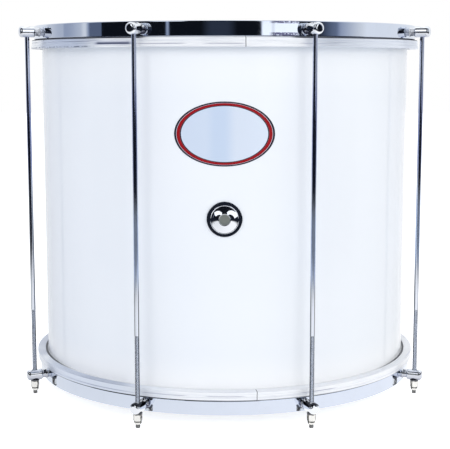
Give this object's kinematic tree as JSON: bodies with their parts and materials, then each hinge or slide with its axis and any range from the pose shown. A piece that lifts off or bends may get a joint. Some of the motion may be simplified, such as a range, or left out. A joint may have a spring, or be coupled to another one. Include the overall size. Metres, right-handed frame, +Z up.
{
  "type": "surdo drum",
  "caption": "Samba bass drum: white laminated wooden shell, a head, flesh hoop and chromed counterhoop at each end, drawn together by tension rods, lugs and tuning nuts.",
  "frame": {"origin": "on the floor under the middle of the drum, in the plane of the rods' lower tips", "axes": "+Z up along the drum's axis from the lower head to the batter head, -Y towards the front with the vent and the plate, +X to the right seen from the front"},
  "size_m": [0.542, 0.542, 0.498],
  "materials": {
    "shell_ply": "sanded plywood, sealed",
    "shell_laminate": "white high-gloss laminate",
    "head_film": "coated white film",
    "flesh_hoop": "bright drawn",
    "counterhoop": "mirror chrome",
    "lug": "cast and chromed",
    "tension_rod": "chromed steel rod",
    "washer": "zinc plated",
    "tuning_nut": "nickel plated",
    "vent_chrome": "mirror chrome",
    "badge_plate": "printed and varnished"
  },
  "bodies": {
    "drum": {"shell_ply": "shell_ply", "shell_laminate": "shell_laminate", "upper_glue_ring": "shell_ply", "lower_glue_ring": "shell_ply", "upper_head": "head_film", "lower_head": "head_film", "upper_head_collar": "head_film", "lower_head_collar": "head_film", "upper_flesh_hoop": "flesh_hoop", "lower_flesh_hoop": "flesh_hoop", "upper_counterhoop": "counterhoop", "lower_counterhoop": "counterhoop", "vent_rosette": "vent_chrome", "vent_ring_nut": "vent_chrome", "badge_plate": "badge_plate", "upper_lug_1": "lug", "upper_lug_2": "lug", "upper_lug_3": "lug", "upper_lug_4": "lug", "upper_lug_5": "lug", "upper_lug_6": "lug", "upper_lug_7": "lug", "upper_lug_8": "lug", "lower_lug_1": "lug", "lower_lug_2": "lug", "lower_lug_3": "lug", "lower_lug_4": "lug", "lower_lug_5": "lug", "lower_lug_6": "lug", "lower_lug_7": "lug", "lower_lug_8": "lug", "tension_rod_1": "tension_rod", "tension_rod_2": "tension_rod", "tension_rod_3": "tension_rod", "tension_rod_4": "tension_rod", "tension_rod_5": "tension_rod", "tension_rod_6": "tension_rod", "tension_rod_7": "tension_rod", "tension_rod_8": "tension_rod"},
    "washer_1": {"washer_1": "washer"},
    "nut_1": {"tuning_nut_1": "tuning_nut"},
    "washer_2": {"washer_2": "washer"},
    "nut_2": {"tuning_nut_2": "tuning_nut"},
    "washer_3": {"washer_3": "washer"},
    "nut_3": {"tuning_nut_3": "tuning_nut"},
    "washer_4": {"washer_4": "washer"},
    "nut_4": {"tuning_nut_4": "tuning_nut"},
    "washer_5": {"washer_5": "washer"},
    "nut_5": {"tuning_nut_5": "tuning_nut"},
    "washer_6": {"washer_6": "washer"},
    "nut_6": {"tuning_nut_6": "tuning_nut"},
    "washer_7": {"washer_7": "washer"},
    "nut_7": {"tuning_nut_7": "tuning_nut"},
    "washer_8": {"washer_8": "washer"},
    "nut_8": {"tuning_nut_8": "tuning_nut"}
  },
  "joints": [
    {"name": "washer_slide_1", "type": "slide", "parent": "drum", "child": "washer_1", "axis": [0, 0, -1], "range_m": [0, 0.005]},
    {"name": "nut_turn_1", "type": "hinge", "parent": "washer_1", "child": "nut_1", "pos_m": [0.10753, -0.25961, 0.0117], "axis": [0, 0, -1], "range_deg": [0, 1800]},
    {"name": "washer_slide_2", "type": "slide", "parent": "drum", "child": "washer_2", "axis": [0, 0, -1], "range_m": [0, 0.005]},
    {"name": "nut_turn_2", "type": "hinge", "parent": "washer_2", "child": "nut_2", "pos_m": [0.25961, -0.10753, 0.0117], "axis": [0, 0, -1], "range_deg": [0, 1800]},
    {"name": "washer_slide_3", "type": "slide", "parent": "drum", "child": "washer_3", "axis": [0, 0, -1], "range_m": [0, 0.005]},
    {"name": "nut_turn_3", "type": "hinge", "parent": "washer_3", "child": "nut_3", "pos_m": [0.25961, 0.10753, 0.0117], "axis": [0, 0, -1], "range_deg": [0, 1800]},
    {"name": "washer_slide_4", "type": "slide", "parent": "drum", "child": "washer_4", "axis": [0, 0, -1], "range_m": [0, 0.005]},
    {"name": "nut_turn_4", "type": "hinge", "parent": "washer_4", "child": "nut_4", "pos_m": [0.10753, 0.25961, 0.0117], "axis": [0, 0, -1], "range_deg": [0, 1800]},
    {"name": "washer_slide_5", "type": "slide", "parent": "drum", "child": "washer_5", "axis": [0, 0, -1], "range_m": [0, 0.005]},
    {"name": "nut_turn_5", "type": "hinge", "parent": "washer_5", "child": "nut_5", "pos_m": [-0.10753, 0.25961, 0.0117], "axis": [0, 0, -1], "range_deg": [0, 1800]},
    {"name": "washer_slide_6", "type": "slide", "parent": "drum", "child": "washer_6", "axis": [0, 0, -1], "range_m": [0, 0.005]},
    {"name": "nut_turn_6", "type": "hinge", "parent": "washer_6", "child": "nut_6", "pos_m": [-0.25961, 0.10753, 0.0117], "axis": [0, 0, -1], "range_deg": [0, 1800]},
    {"name": "washer_slide_7", "type": "slide", "parent": "drum", "child": "washer_7", "axis": [0, 0, -1], "range_m": [0, 0.005]},
    {"name": "nut_turn_7", "type": "hinge", "parent": "washer_7", "child": "nut_7", "pos_m": [-0.25961, -0.10753, 0.0117], "axis": [0, 0, -1], "range_deg": [0, 1800]},
    {"name": "washer_slide_8", "type": "slide", "parent": "drum", "child": "washer_8", "axis": [0, 0, -1], "range_m": [0, 0.005]},
    {"name": "nut_turn_8", "type": "hinge", "parent": "washer_8", "child": "nut_8", "pos_m": [-0.10753, -0.25961, 0.0117], "axis": [0, 0, -1], "range_deg": [0, 1800]}
  ],
  "couplings": [
    {"joint": "washer_slide_1", "follows": "nut_turn_1", "m_per_rad": 0.00015915},
    {"joint": "washer_slide_2", "follows": "nut_turn_2", "m_per_rad": 0.00015915},
    {"joint": "washer_slide_3", "follows": "nut_turn_3", "m_per_rad": 0.00015915},
    {"joint": "washer_slide_4", "follows": "nut_turn_4", "m_per_rad": 0.00015915},
    {"joint": "washer_slide_5", "follows": "nut_turn_5", "m_per_rad": 0.00015915},
    {"joint": "washer_slide_6", "follows": "nut_turn_6", "m_per_rad": 0.00015915},
    {"joint": "washer_slide_7", "follows": "nut_turn_7", "m_per_rad": 0.00015915},
    {"joint": "washer_slide_8", "follows": "nut_turn_8", "m_per_rad": 0.00015915}
  ]
}
